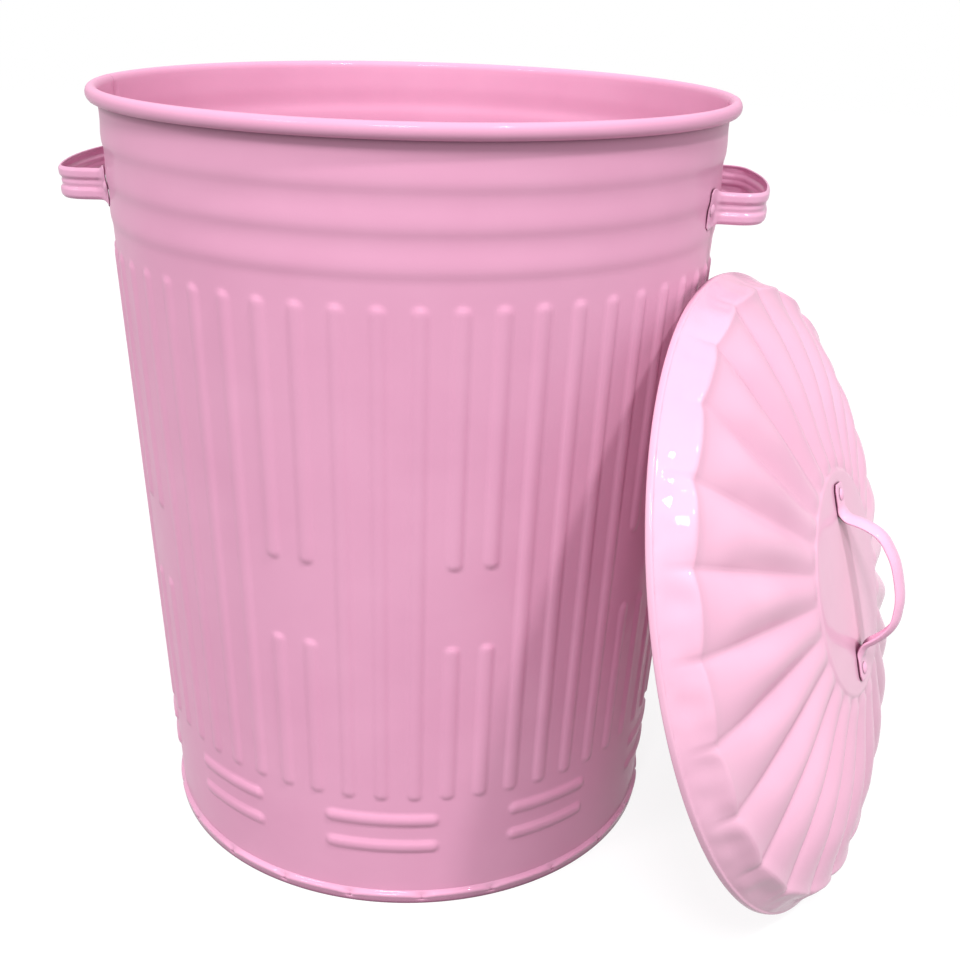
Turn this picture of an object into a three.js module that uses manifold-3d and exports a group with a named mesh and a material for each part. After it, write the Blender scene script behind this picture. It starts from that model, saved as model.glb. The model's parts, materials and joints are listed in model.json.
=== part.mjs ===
// A tapered steel dustbin in powder coat, with its fluted lid taken off and leaning on it.
//
// Millimetres, +Z up. The floor is z = 0, the side handles point along X and the front is -Y.
// The body is two ribbed half panels joined by lock seams at the handles, rolled at the top round
// a wire and crimped at the bottom into a foot hoop together with the base plate.
import * as THREE from 'three';
import { mergeVertices } from 'three/addons/utils/BufferGeometryUtils.js';
import Module from 'manifold-3d';

const wasm = await Module();
wasm.setup();

// ---- Driving dimensions ------------------------------------------------------------------------

// Body: a cone of sheet steel. The radii are those of its plain outer face.
const canHeight = 560;
const wallTopRadius = 221.2;
const wallBottomRadius = 191.8;
const sheet = 1.0;

// Clearances between pieces.
const seatGap = 0.3;
const panelGap = 0.35;

// Rolled rim and the wire inside it.
const rimBeadRadius = 4.25;
const rimWireRadius = 2.6;
const rimCurlEnd = -120; // degrees round the bead, 180 being the inside of the can
const rimCurlSteps = 6;

// Lock seams, where the two half panels meet.
const seamHalfWidth = 4.5;
const seamRaise = 1.5;
const seamRimBump = 0.4;
const seamStep = 1.0;

// Swage rings, from the rim down.
const ringDrops = [85.5, 60.5, 35];
const ringProud = 2.0;
const ringFootBelow = 5;
const ringFootAbove = 13;

// Upright ribs. The steps are counted from the middle of each panel.
const ribPitch = 6.8; // degrees
const ribsEachSide = 12;
const ribFootHalf = 6.3;
const ribCrestHalf = 2.8;
const ribProud = 2.6;
const ribBottom = 91;
const ribTopDrop = 106.5; // from the rim
const ribEndRun = 6;
const ribGapLow = 218.5;
const ribGapHigh = 274.5;
const gappedRibs = [2, 3, 8, 9];

// Pairs of short level bars under the ribs: the middle and half span of each pair, in rib steps.
const barHeights = [51, 74];
const barFootHalf = 5.5;
const barProud = 2.3;
const barEndRun = 4;
const middleBarHalfSteps = 1.8;
const sideBarHalfSteps = 1.51;
const sideBarSteps = [5.5, 11.3];

// Foot hoop and base plate.
const hoopHeight = 9;
const hoopSheet = 1.2;
const hoopRollProud = 1.2; // the outer leg is rolled into a bead that stands out this far
const hoopInnerLegHeight = 7;
const basePlateHeight = 12;
const baseSwageRadius = 150;
const baseSwageWidth = 12;
const baseSwageProud = 2;

// Side handles: a corrugated strap bent into a loop, with a flattened tab at each end.
const handleDrop = 67.5; // from the rim to the middle of the strap
const handleStrapWidth = 22;
const handleSheet = 1.2;
const handleHalfSpan = 80;
const handleTabLength = 17;
const handleProud = 30;
const handleCornerRadius = 14;
const handleLegLean = 4;
const handleTabBend = 3;
const handleRidge = 1.7;
const handleTabFlare = 1.25;

// Rivets.
const rivetShankRadius = 2.4;
const rivetHeadRadius = 4.6;
const rivetHeadHeight = 1.8;
const rivetTailHeight = 1.2;
const rivetSides = 12;
const rivetDrillLength = 40;

// Lid, in its own frame: z = 0 is the lower edge of its hem.
const lidSheet = 0.9;
const lidRimClearance = 0.5; // from the rolled rim to the inside of the hem when it is on the can
const lidHemThickness = 2.0;
const lidHemHeight = 4.8;
const lidSkirtHeight = 21;
const lidSkirtDraw = 12; // how far the skirt draws in on its way up
const lidFluteCount = 25;
const lidFlutePhase = 183.8;
const lidFluteDepth = 9;
const lidShoulderRound = 5;
const lidDiscRadius = 80;
const lidDiscHeight = 60;
const lidDiscStep = 1.5;
const lidDomeBulge = 2; // how far the flutes bow up halfway between the skirt and the disc

// Lid handle: a plain strap over the middle of the lid.
const lidHandleAngle = 82;
const lidHandleHalfLength = 72;
const lidHandleWidth = 18;
const lidHandleSheet = 1.8;
const lidHandleRise = 34;
const lidHandleFootLength = 16;
const lidHandleCrown = 1.2;

// Where the lid stands: it leans on the ribs at the front right.
const lidStandAzimuth = -17.3;
const lidFacingAzimuth = -23;
const lidLean = 16.7;

// Finishes.
const bodyPink = 0xe6a9ca;
const lidPink = 0xf4b6d6;
const handlePink = 0xeeb2d2;
const coatRoughness = 0.32;
const coatMetalness = 0.1;

// ---- Worked-out sizes --------------------------------------------------------------------------

const degree = Math.PI / 180;
const hoopSegments = 60;
const wireSegments = 60;
const wallTaper = (wallTopRadius - wallBottomRadius) / canHeight;
const wallRadius = (z) => wallBottomRadius + wallTaper * z;
const ringHeights = ringDrops.map((drop) => canHeight - drop);
const ribTop = canHeight - ribTopDrop;
const handleHeight = canHeight - handleDrop;
const rimHeight = canHeight - rimBeadRadius;
const rimCentreRadius = wallRadius(rimHeight) - sheet + rimBeadRadius;
const rimOuterRadius = rimCentreRadius + rimBeadRadius;
const wallFoot = hoopSheet + seatGap;
const panelColumnStep = ribPitch;

// ---- Sheet-metal mesh helpers ------------------------------------------------------------------

// Collects points and triangles. A chain is a list of points with a rising key for each.
class SheetMesh {
  constructor() {
    this.positions = [];
    this.triangles = [];
  }

  point(angle, radius, z) {
    this.positions.push(radius * Math.cos(angle), radius * Math.sin(angle), z);
    return this.positions.length / 3 - 1;
  }

  // Fills the strip between two chains, always advancing the one whose next key is lower.
  stitch(first, second) {
    let i = 0;
    let j = 0;
    while (i < first.ids.length - 1 || j < second.ids.length - 1) {
      const firstNext = i < first.ids.length - 1 ? first.keys[i + 1] : Infinity;
      const secondNext = j < second.ids.length - 1 ? second.keys[j + 1] : Infinity;
      if (firstNext <= secondNext) {
        this.triangles.push(first.ids[i], second.ids[j], first.ids[i + 1]);
        i += 1;
      } else {
        this.triangles.push(first.ids[i], second.ids[j], second.ids[j + 1]);
        j += 1;
      }
    }
  }

  geometry() {
    const geometry = new THREE.BufferGeometry();
    geometry.setAttribute('position', new THREE.Float32BufferAttribute(this.positions, 3));
    geometry.setIndex(this.triangles);
    return geometry;
  }
}

const joinChains = (chains) => ({
  ids: chains.flatMap((chain) => chain.ids),
  keys: chains.flatMap((chain) => chain.ids).map((id, place) => place),
});

// A band of the wall: upright columns, each with its own list of [radius, z] on both faces.
function wallBand(mesh, columns) {
  const faces = { outer: [], inner: [] };
  for (const column of columns) {
    for (const side of ['outer', 'inner']) {
      const ids = column[side].map(([radius, z]) => mesh.point(column.angle, radius, z));
      const keys = column[side].map(([, z, key]) => (key === undefined ? z : key));
      faces[side].push({ ids, keys });
    }
  }
  for (let k = 0; k < columns.length - 1; k += 1) {
    mesh.stitch(faces.outer[k], faces.outer[k + 1]);
    mesh.stitch(faces.inner[k + 1], faces.inner[k]);
  }
  const row = (side, last) => ({
    ids: faces[side].map((chain) => chain.ids[last ? chain.ids.length - 1 : 0]),
    keys: columns.map((column) => column.angle),
  });
  return { faces, row };
}

// Joins stacked bands into one closed sheet.
function closeBands(mesh, bands) {
  for (let k = 0; k < bands.length - 1; k += 1) {
    mesh.stitch(bands[k + 1].row('outer', false), bands[k].row('outer', true));
    mesh.stitch(bands[k].row('inner', true), bands[k + 1].row('inner', false));
  }
  const lowest = bands[0];
  const highest = bands[bands.length - 1];
  mesh.stitch(lowest.row('outer', false), lowest.row('inner', false));
  mesh.stitch(highest.row('inner', true), highest.row('outer', true));
  const edge = (side, last) => joinChains(bands.map((band) => band.faces[side].at(last ? -1 : 0)));
  mesh.stitch(edge('inner', false), edge('outer', false));
  mesh.stitch(edge('outer', true), edge('inner', true));
}

// ---- Boolean helpers ---------------------------------------------------------------------------

function toSolid(geometry) {
  const bare = geometry.clone();
  bare.deleteAttribute('normal');
  bare.deleteAttribute('uv');
  const merged = mergeVertices(bare, 1e-4);
  return new wasm.Manifold(new wasm.Mesh({
    numProp: 3,
    vertProperties: new Float32Array(merged.attributes.position.array),
    triVerts: new Uint32Array(merged.index.array),
  }));
}

function toGeometry(solid) {
  const mesh = solid.getMesh();
  const geometry = new THREE.BufferGeometry();
  geometry.setAttribute('position', new THREE.Float32BufferAttribute(mesh.vertProperties, 3));
  geometry.setIndex(Array.from(mesh.triVerts));
  return geometry;
}

function drill(geometry, cutters) {
  let solid = toSolid(geometry);
  for (const cutter of cutters) {
    solid = solid.subtract(toSolid(cutter));
  }
  return toGeometry(solid);
}

// ---- Body panels -------------------------------------------------------------------------------

// Everything about a panel is placed by its angle from the panel's middle.
const panelHalfAngle = 90 * degree - panelGap / 2 / wallTopRadius;
const seamAngle = panelHalfAngle - seamHalfWidth / wallBottomRadius;
const seamStepAngle = seamAngle - seamStep / wallBottomRadius;

const seamColumns = (sign) => {
  const columns = [
    { angle: sign * seamStepAngle, seam: 0 },
    { angle: sign * seamAngle, seam: 1 },
    { angle: sign * panelHalfAngle, seam: 1 },
  ];
  return sign < 0 ? columns.reverse() : columns;
};

// The folded seam stands out from the wall, but not inside the foot hoop.
const seamFoot = hoopHeight + 1;
const seamProud = (z) => (z > seamFoot ? seamRaise : 0);

// Both faces of a column, from a list of [z, proud] stations on the cone.
function faceColumn(angle, stations, seam = 0) {
  return {
    angle,
    outer: stations.map(([z, proud]) => [wallRadius(z) + proud + seam * seamProud(z), z]),
    inner: stations.map(([z, proud]) => [wallRadius(z) + proud - sheet, z]),
  };
}

function barBandColumns(low, high) {
  const plain = [[low, 0], [high, 0]];
  const barred = [[low, 0]];
  for (const height of barHeights) {
    barred.push([height - barFootHalf, 0], [height, barProud], [height + barFootHalf, 0]);
  }
  barred.push([high, 0]);
  const middle = { centre: 0, half: middleBarHalfSteps };
  const sides = sideBarSteps.flatMap((step) => [-1, 1].map((sign) => (
    { centre: sign * step, half: sideBarHalfSteps })));
  const groups = [middle, ...sides].sort((a, b) => a.centre - b.centre);
  const footAngle = barEndRun / wallBottomRadius;
  const spanCount = (angle) => Math.ceil(angle / (panelColumnStep * degree));
  const columns = [];
  let reached = -seamStepAngle;
  for (const { centre, half } of groups) {
    const from = (centre - half) * ribPitch * degree;
    const to = (centre + half) * ribPitch * degree;
    const plainSpans = spanCount(from - reached);
    for (let k = 1; k < plainSpans; k += 1) {
      columns.push(faceColumn(reached + ((from - reached) * k) / plainSpans, plain));
    }
    const spans = spanCount(to - from - 2 * footAngle);
    reached = to;
    columns.push(faceColumn(from, plain));
    for (let k = 0; k <= spans; k += 1) {
      const angle = from + footAngle + ((to - from - 2 * footAngle) * k) / spans;
      columns.push(faceColumn(angle, barred));
    }
    columns.push(faceColumn(to, plain));
  }
  const seamStations = [[low, 0], [seamFoot, 0], [seamFoot + 2, 0], [high, 0]];
  const seams = [seamColumns(-1), seamColumns(1)].map((side) => (
    side.map(({ angle, seam }) => faceColumn(angle, seamStations, seam))));
  return [...seams[0], ...columns, ...seams[1]];
}

function ribBandColumns(low, high) {
  const plain = [[low, 0], [high, 0]];
  const start = [[low, 0], [ribBottom, 0], [ribBottom + ribEndRun, ribProud]];
  const gap = [
    [ribGapLow - ribEndRun, ribProud], [ribGapLow, 0],
    [ribGapHigh, 0], [ribGapHigh + ribEndRun, ribProud],
  ];
  const end = [[ribTop - ribEndRun, ribProud], [ribTop, 0], [high, 0]];
  const columns = [];
  for (let step = -ribsEachSide; step <= ribsEachSide; step += 1) {
    const middle = step * ribPitch * degree;
    const foot = ribFootHalf / wallTopRadius;
    const crest = ribCrestHalf / wallTopRadius;
    const ribbed = [...start, ...(gappedRibs.includes(Math.abs(step)) ? gap : []), ...end];
    columns.push(faceColumn(middle - foot, plain));
    columns.push(faceColumn(middle - crest, ribbed));
    columns.push(faceColumn(middle + crest, ribbed));
    columns.push(faceColumn(middle + foot, plain));
  }
  const seams = [seamColumns(-1), seamColumns(1)].map((side) => (
    side.map(({ angle, seam }) => faceColumn(angle, plain, seam))));
  return [...seams[0], ...columns, ...seams[1]];
}

// The swage rings, the plain neck and the rim rolled outwards round its wire.
function rimColumn(angle, low, seam) {
  const stations = [[low, 0]];
  for (const height of ringHeights) {
    stations.push([height - ringFootBelow, 0], [height, ringProud], [height + ringFootAbove, 0]);
  }
  const column = faceColumn(angle, stations, seam);
  const neck = rimHeight - rimBeadRadius;
  column.outer.push([wallRadius(neck) + seam * seamRaise, neck]);
  column.inner.push([wallRadius(neck) - sheet, neck]);
  for (let k = 0; k <= rimCurlSteps; k += 1) {
    const turn = (180 + ((rimCurlEnd - 180) * k) / rimCurlSteps) * degree;
    const bump = seam * seamRimBump * Math.min(1, k / 2);
    const around = (radius) => [
      rimCentreRadius + radius * Math.cos(turn), rimHeight + radius * Math.sin(turn)];
    column.outer.push(around(rimBeadRadius - sheet));
    column.inner.push(around(rimBeadRadius + bump));
  }
  column.outer.forEach((entry, place) => { entry[2] = place; });
  column.inner.forEach((entry, place) => { entry[2] = place; });
  return column;
}

function rimBandColumns(low) {
  const columns = [];
  for (let step = -ribsEachSide; step <= ribsEachSide; step += 1) {
    columns.push(rimColumn(step * panelColumnStep * degree, low, 0));
  }
  const seams = [seamColumns(-1), seamColumns(1)].map((side) => (
    side.map(({ angle, seam }) => rimColumn(angle, low, seam))));
  return [...seams[0], ...columns, ...seams[1]];
}

function panelGeometry() {
  const mesh = new SheetMesh();
  const barTop = barHeights.at(-1) + barFootHalf;
  const barBandTop = (barTop + ribBottom) / 2;
  const ribBandLow = (barBandTop + ribBottom) / 2;
  const ringLow = ringHeights[0] - ringFootBelow;
  const ribBandHigh = ribTop + (ringLow - ribTop) / 3;
  const rimBandLow = ribTop + ((ringLow - ribTop) * 2) / 3;
  const bands = [
    wallBand(mesh, barBandColumns(wallFoot, barBandTop)),
    wallBand(mesh, ribBandColumns(ribBandLow, ribBandHigh)),
    wallBand(mesh, rimBandColumns(rimBandLow)),
  ];
  closeBands(mesh, bands);
  return mesh.geometry();
}

// ---- Turned pieces -----------------------------------------------------------------------------

// A ring or disc turned about Z, from a profile of [radius, z].
function turned(profile, segments) {
  const points = profile.map(([radius, z]) => new THREE.Vector2(radius, z));
  const geometry = new THREE.LatheGeometry(points, segments);
  geometry.rotateX(Math.PI / 2);
  return geometry;
}

const closed = (profile) => [...profile, profile[0]];

function rimWireGeometry() {
  const sides = 6;
  const profile = [];
  for (let k = 0; k < sides; k += 1) {
    const turn = (k * 2 * Math.PI) / sides;
    profile.push([
      rimCentreRadius + rimWireRadius * Math.cos(turn), rimWireRadius * Math.sin(turn)]);
  }
  return turned(closed(profile), wireSegments);
}

// The wall is faceted, so its face lies a little inside its corners.
const wallFlat = Math.cos((panelColumnStep / 2) * degree);
const hoopFlat = Math.cos(Math.PI / hoopSegments);
const flangeOuterRadius = (wallRadius(0) - sheet) * wallFlat - seatGap;
const flangeInnerRadius = flangeOuterRadius - sheet;
const hoopInnerRadius = (wallRadius(hoopHeight) + seatGap) / hoopFlat;
const hoopOuterRadius = hoopInnerRadius + hoopSheet + hoopRollProud;

function baseHoopGeometry() {
  const legOuter = flangeInnerRadius * hoopFlat - seatGap;
  const legInner = legOuter - hoopSheet;
  return turned(closed([
    [legInner, 0],
    [hoopOuterRadius - 0.6, 0],
    [hoopOuterRadius, 0.6],
    [hoopOuterRadius, hoopHeight],
    [hoopInnerRadius, hoopHeight],
    [hoopInnerRadius, hoopSheet],
    [legOuter, hoopSheet],
    [legOuter, hoopInnerLegHeight],
    [legInner, hoopInnerLegHeight],
  ]), hoopSegments);
}

function basePlateGeometry() {
  const under = basePlateHeight;
  const over = basePlateHeight + sheet;
  const swage = (z) => [
    [baseSwageRadius - baseSwageWidth, z],
    [baseSwageRadius, z + baseSwageProud],
    [baseSwageRadius + baseSwageWidth, z],
  ];
  return turned([
    [0, under],
    ...swage(under),
    [flangeInnerRadius, under],
    [flangeInnerRadius, wallFoot],
    [flangeOuterRadius, wallFoot],
    [flangeOuterRadius, over],
    ...swage(over).reverse(),
    [0, over],
  ], hoopSegments);
}

// A rivet along its own +Z, with z = 0 under its head.
function rivetGeometry(grip) {
  return turned([
    [0, -grip - rivetTailHeight],
    [rivetHeadRadius * 0.85, -grip - rivetTailHeight],
    [rivetHeadRadius * 0.85, -grip],
    [rivetShankRadius, -grip],
    [rivetShankRadius, 0],
    [rivetHeadRadius, 0],
    [rivetHeadRadius * 0.7, rivetHeadHeight * 0.75],
    [0, rivetHeadHeight],
  ], rivetSides);
}

function rivetHole(length) {
  const geometry = new THREE.CylinderGeometry(
    rivetShankRadius + seatGap, rivetShankRadius + seatGap, length, rivetSides);
  geometry.rotateX(Math.PI / 2);
  return geometry;
}

// ---- Straps ------------------------------------------------------------------------------------

// Sweeps a closed section along stations. Each station gives a point for every section entry.
function sweptStrap(stations, sectionSize) {
  const positions = [];
  const triangles = [];
  for (const station of stations) {
    for (const corner of station) {
      positions.push(corner.x, corner.y, corner.z);
    }
  }
  const at = (ring, side) => ring * sectionSize + (side % sectionSize);
  for (let ring = 0; ring < stations.length - 1; ring += 1) {
    for (let side = 0; side < sectionSize; side += 1) {
      triangles.push(at(ring, side), at(ring, side + 1), at(ring + 1, side + 1));
      triangles.push(at(ring, side), at(ring + 1, side + 1), at(ring + 1, side));
    }
  }
  // The ends are strips, because the section is two matching rows of points.
  const half = sectionSize / 2;
  const last = stations.length - 1;
  for (let k = 0; k < half - 1; k += 1) {
    const [a, b, c, d] = [k, k + 1, sectionSize - 2 - k, sectionSize - 1 - k];
    triangles.push(at(0, a), at(0, d), at(0, c), at(0, a), at(0, c), at(0, b));
    triangles.push(at(last, a), at(last, c), at(last, d), at(last, a), at(last, b), at(last, c));
  }
  const geometry = new THREE.BufferGeometry();
  geometry.setAttribute('position', new THREE.Float32BufferAttribute(positions, 3));
  geometry.setIndex(triangles);
  return geometry;
}

// The side handle seen from above: u runs along the wall, d stands out from it.
function sideHandlePath() {
  const legFoot = handleHalfSpan - handleTabLength;
  const points = [
    [handleHalfSpan, 0],
    [legFoot + handleTabBend, 0],
    [legFoot, handleTabBend],
    [legFoot - handleLegLean, handleProud - handleCornerRadius],
  ];
  const corner = legFoot - handleLegLean - handleCornerRadius;
  for (const turn of [30, 60, 90]) {
    points.push([
      corner + handleCornerRadius * Math.cos(turn * degree),
      handleProud - handleCornerRadius * (1 - Math.sin(turn * degree)),
    ]);
  }
  const other = points.map(([u, d]) => [-u, d]).reverse();
  return [...points, [0, handleProud], ...other];
}

// Half the strap's corrugation: the share of its half width, and how far it stands out.
const strapRidges = [[1, 0], [0.62, 1], [0.27, 0.1]];
const strapMiddle = [0, 0.6];

function sideHandleGeometry() {
  const seat = ringProud + seatGap + handleSheet;
  const path = sideHandlePath();
  const lower = strapRidges.map(([share, ridge]) => [-share, ridge]);
  const upper = strapRidges.map(([share, ridge]) => [share, ridge]).reverse();
  const profile = [...lower, strapMiddle, ...upper];
  const stations = path.map(([u, d], place) => {
    const before = path[Math.max(0, place - 1)];
    const after = path[Math.min(path.length - 1, place + 1)];
    const along = new THREE.Vector2(after[0] - before[0], after[1] - before[1]).normalize();
    const outward = new THREE.Vector2(along.y, -along.x);
    const inTab = Math.abs(u) > handleHalfSpan - handleTabLength + 1 ? 1 : 0;
    const ridge = handleRidge * (inTab ? 0.1 : 1);
    const flare = inTab ? handleTabFlare : 1;
    const corner = ([share, height], depth) => {
      const z = (share * flare * handleStrapWidth) / 2;
      const stand = height * ridge - depth;
      const uu = u + outward.x * stand;
      const dd = d + outward.y * stand;
      const radius = wallRadius(handleHeight + z) + seat + dd;
      const angle = uu / wallRadius(handleHeight);
      // The whole strap follows the round wall.
      const curl = radius * Math.cos(angle);
      const wide = radius * Math.sin(angle);
      return new THREE.Vector3(curl, wide, z + handleHeight);
    };
    const outerRow = profile.map((entry) => corner(entry, 0));
    const innerRow = profile.map((entry) => corner(entry, handleSheet)).reverse();
    return [...outerRow, ...innerRow];
  });
  const solid = sweptStrap(stations, profile.length * 2);
  const cutters = [-1, 1].map((side) => atRivet(rivetHole(rivetDrillLength), side));
  return drill(solid, cutters);
}

// Places a piece that points along its own +Z on the rivet line of a handle at the +X side.
const rivetAngle = (handleHalfSpan - handleTabLength * 0.4) / wallRadius(handleHeight);
function atRivet(geometry, side, radius = wallRadius(handleHeight)) {
  geometry.rotateY(Math.PI / 2);
  geometry.translate(radius, 0, handleHeight);
  geometry.rotateZ(side * rivetAngle);
  return geometry;
}

// The lid handle seen from the side: s runs along it, h is its height over the disc.
function lidHandlePath() {
  const foot = lidHandleHalfLength - lidHandleFootLength;
  const rise = lidHandleRise;
  const points = [
    [lidHandleHalfLength, 0],
    [foot, 0],
    [foot * 0.875, rise * 0.1],
    [foot * 0.77, rise * 0.3],
    [foot * 0.7, rise * 0.55],
    [foot * 0.57, rise * 0.8],
    [foot * 0.39, rise * 0.93],
    [foot * 0.18, rise * 0.99],
  ];
  const other = points.map(([s, h]) => [-s, h]).reverse();
  return [...points, [0, rise], ...other];
}

function lidHandleGeometry() {
  const path = lidHandlePath();
  const middle = lidHandleSheet / 2 + seatGap;
  const shares = [-1, -0.55, 0, 0.55, 1];
  const stations = path.map(([s, h], place) => {
    const before = path[Math.max(0, place - 1)];
    const after = path[Math.min(path.length - 1, place + 1)];
    const along = new THREE.Vector2(after[0] - before[0], after[1] - before[1]).normalize();
    const outward = new THREE.Vector2(along.y, -along.x);
    const crown = Math.abs(s) > lidHandleHalfLength - lidHandleFootLength - 1 ? 0 : lidHandleCrown;
    const corner = (share, depth) => {
      const stand = depth + crown * (1 - share * share);
      return new THREE.Vector3(
        s + outward.x * stand, (share * lidHandleWidth) / 2, middle + h + outward.y * stand);
    };
    const outerRow = shares.map((share) => corner(share, lidHandleSheet / 2));
    const innerRow = shares.map((share) => corner(share, -lidHandleSheet / 2)).reverse();
    return [...outerRow, ...innerRow];
  });
  const solid = sweptStrap(stations, shares.length * 2);
  const cutters = [-1, 1].map((side) => (
    rivetHole(rivetDrillLength / 2).translate(side * lidRivetDistance, 0, 0)));
  return drill(solid, cutters);
}

const lidRivetDistance = lidHandleHalfLength - lidHandleFootLength / 2;

// ---- Lid ---------------------------------------------------------------------------------------

const lidHemInnerRadius = rimOuterRadius + lidRimClearance;
const lidOuterRadius = lidHemInnerRadius + lidHemThickness;
const lidSkirtRadius = lidOuterRadius - lidSkirtDraw;
const fluteSamples = [[0, 0], [0.25, 0.66], [0.5, 1], [0.75, 0.66]];

// The lid's top face from the hem to the disc, for a flute wave of 0 (valley) to 1 (ridge).
function lidTopRows(wave) {
  const shoulderRadius = lidSkirtRadius - lidShoulderRound + 2 * wave;
  const shoulderHeight = lidSkirtHeight - 2 + lidFluteDepth * wave;
  const discEdgeRadius = lidDiscRadius + 4;
  const discEdgeHeight = lidDiscHeight - lidDiscStep * (1.6 - wave);
  return [
    [lidOuterRadius, 0],
    [lidOuterRadius, lidHemHeight],
    [lidHemInnerRadius + lidSheet, lidHemHeight + 0.8],
    [lidSkirtRadius - 2 * (1 - wave), lidSkirtHeight - 3 + 4 * wave],
    [shoulderRadius, shoulderHeight],
    [(shoulderRadius + discEdgeRadius) / 2, (shoulderHeight + discEdgeHeight) / 2 + lidDomeBulge],
    [discEdgeRadius, discEdgeHeight],
    [lidDiscRadius, lidDiscHeight],
  ];
}

// The underside, one sheet thickness inside the top face.
function lidUnderRows(wave) {
  const top = lidTopRows(wave);
  return [
    [lidHemInnerRadius, 0],
    [lidHemInnerRadius, lidHemHeight],
    [top[2][0] - lidSheet * 1.05, top[2][1] - lidSheet * 0.2],
    [top[3][0] - lidSheet, top[3][1] - lidSheet * 0.6],
    [top[4][0] - lidSheet * 0.35, top[4][1] - lidSheet],
    [top[5][0], top[5][1] - lidSheet],
    [top[6][0], top[6][1] - lidSheet],
    [top[7][0], top[7][1] - lidSheet],
  ];
}

function lidShellGeometry() {
  const mesh = new SheetMesh();
  const flutePitch = (2 * Math.PI) / lidFluteCount;
  const angles = [];
  const rows = { top: [], under: [] };
  for (let flute = 0; flute < lidFluteCount; flute += 1) {
    for (const [share, wave] of fluteSamples) {
      angles.push({ angle: lidFlutePhase * degree + (flute + share) * flutePitch, wave });
    }
  }
  const ring = (list, row) => angles.map(({ angle, wave }) => {
    const [radius, z] = list(wave)[row];
    return mesh.point(angle, radius, z);
  });
  const rowCount = lidTopRows(0).length;
  for (let row = 0; row < rowCount; row += 1) {
    rows.top.push(ring(lidTopRows, row));
    rows.under.push(ring(lidUnderRows, row));
  }
  const around = (ids) => ({ ids: [...ids, ids[0]], keys: [...ids, 0].map((id, place) => place) });
  for (let row = 0; row < rowCount - 1; row += 1) {
    mesh.stitch(around(rows.top[row + 1]), around(rows.top[row]));
    mesh.stitch(around(rows.under[row]), around(rows.under[row + 1]));
  }
  mesh.stitch(around(rows.top[0]), around(rows.under[0]));
  const topCentre = mesh.point(0, 0, lidDiscHeight);
  const underCentre = mesh.point(0, 0, lidDiscHeight - lidSheet);
  const innerTop = around(rows.top.at(-1)).ids;
  const innerUnder = around(rows.under.at(-1)).ids;
  for (let k = 0; k < angles.length; k += 1) {
    mesh.triangles.push(topCentre, innerTop[k], innerTop[k + 1]);
    mesh.triangles.push(underCentre, innerUnder[k + 1], innerUnder[k]);
  }
  const cutters = [-1, 1].map((side) => {
    const cutter = rivetHole(rivetDrillLength / 2);
    cutter.translate(side * lidRivetDistance, 0, lidDiscHeight);
    cutter.rotateZ(lidHandleAngle * degree);
    return cutter;
  });
  return drill(mesh.geometry(), cutters);
}

// The lid's own axes: its plate normal, and the level and rising directions in its plate.
function lidAxes() {
  const facing = lidFacingAzimuth * degree;
  const lean = lidLean * degree;
  const level = new THREE.Vector3(-Math.sin(facing), Math.cos(facing), 0);
  const normal = new THREE.Vector3(
    Math.cos(lean) * Math.cos(facing), Math.cos(lean) * Math.sin(facing), Math.sin(lean));
  const rising = new THREE.Vector3().crossVectors(normal, level);
  return { level, rising, normal };
}

// What the lid has to clear at a height: the ribs, or a side handle where one stands out.
function reachAt(z) {
  const besideHandle = Math.abs(z - handleHeight) < (handleStrapWidth * handleTabFlare) / 2 + seatGap;
  return besideHandle ? ringProud + handleProud + handleRidge + 2 * seatGap + handleSheet : ribProud;
}

// How far from the can's axis the lid stands, so that its hem just clears the can.
function lidStandDistance(height) {
  const { level, rising } = lidAxes();
  const stand = lidStandAzimuth * degree;
  const clearance = (distance) => {
    let least = Infinity;
    for (let turn = 0; turn < 360; turn += 1) {
      const point = new THREE.Vector3(
        distance * Math.cos(stand), distance * Math.sin(stand), height);
      point.addScaledVector(level, lidOuterRadius * Math.cos(turn * degree));
      point.addScaledVector(rising, lidOuterRadius * Math.sin(turn * degree));
      const wall = wallRadius(point.z) + reachAt(point.z) + seatGap;
      least = Math.min(least, Math.hypot(point.x, point.y) - wall);
    }
    return least;
  };
  let near = 0;
  let far = 3 * lidOuterRadius;
  for (let halving = 0; halving < 40; halving += 1) {
    const middle = (near + far) / 2;
    if (middle > wallBottomRadius / 2 && clearance(middle) > 0) {
      far = middle;
    } else {
      near = middle;
    }
  }
  return far;
}

// ---- Assembly ----------------------------------------------------------------------------------

function coated(colour) {
  return new THREE.MeshStandardMaterial({
    color: colour, roughness: coatRoughness, metalness: coatMetalness });
}

function galvanised() {
  return new THREE.MeshStandardMaterial({ color: 0xb8bcc0, roughness: 0.4, metalness: 0.9 });
}

function piece(name, geometry, material) {
  const mesh = new THREE.Mesh(geometry, material);
  mesh.name = name;
  return mesh;
}

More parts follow.
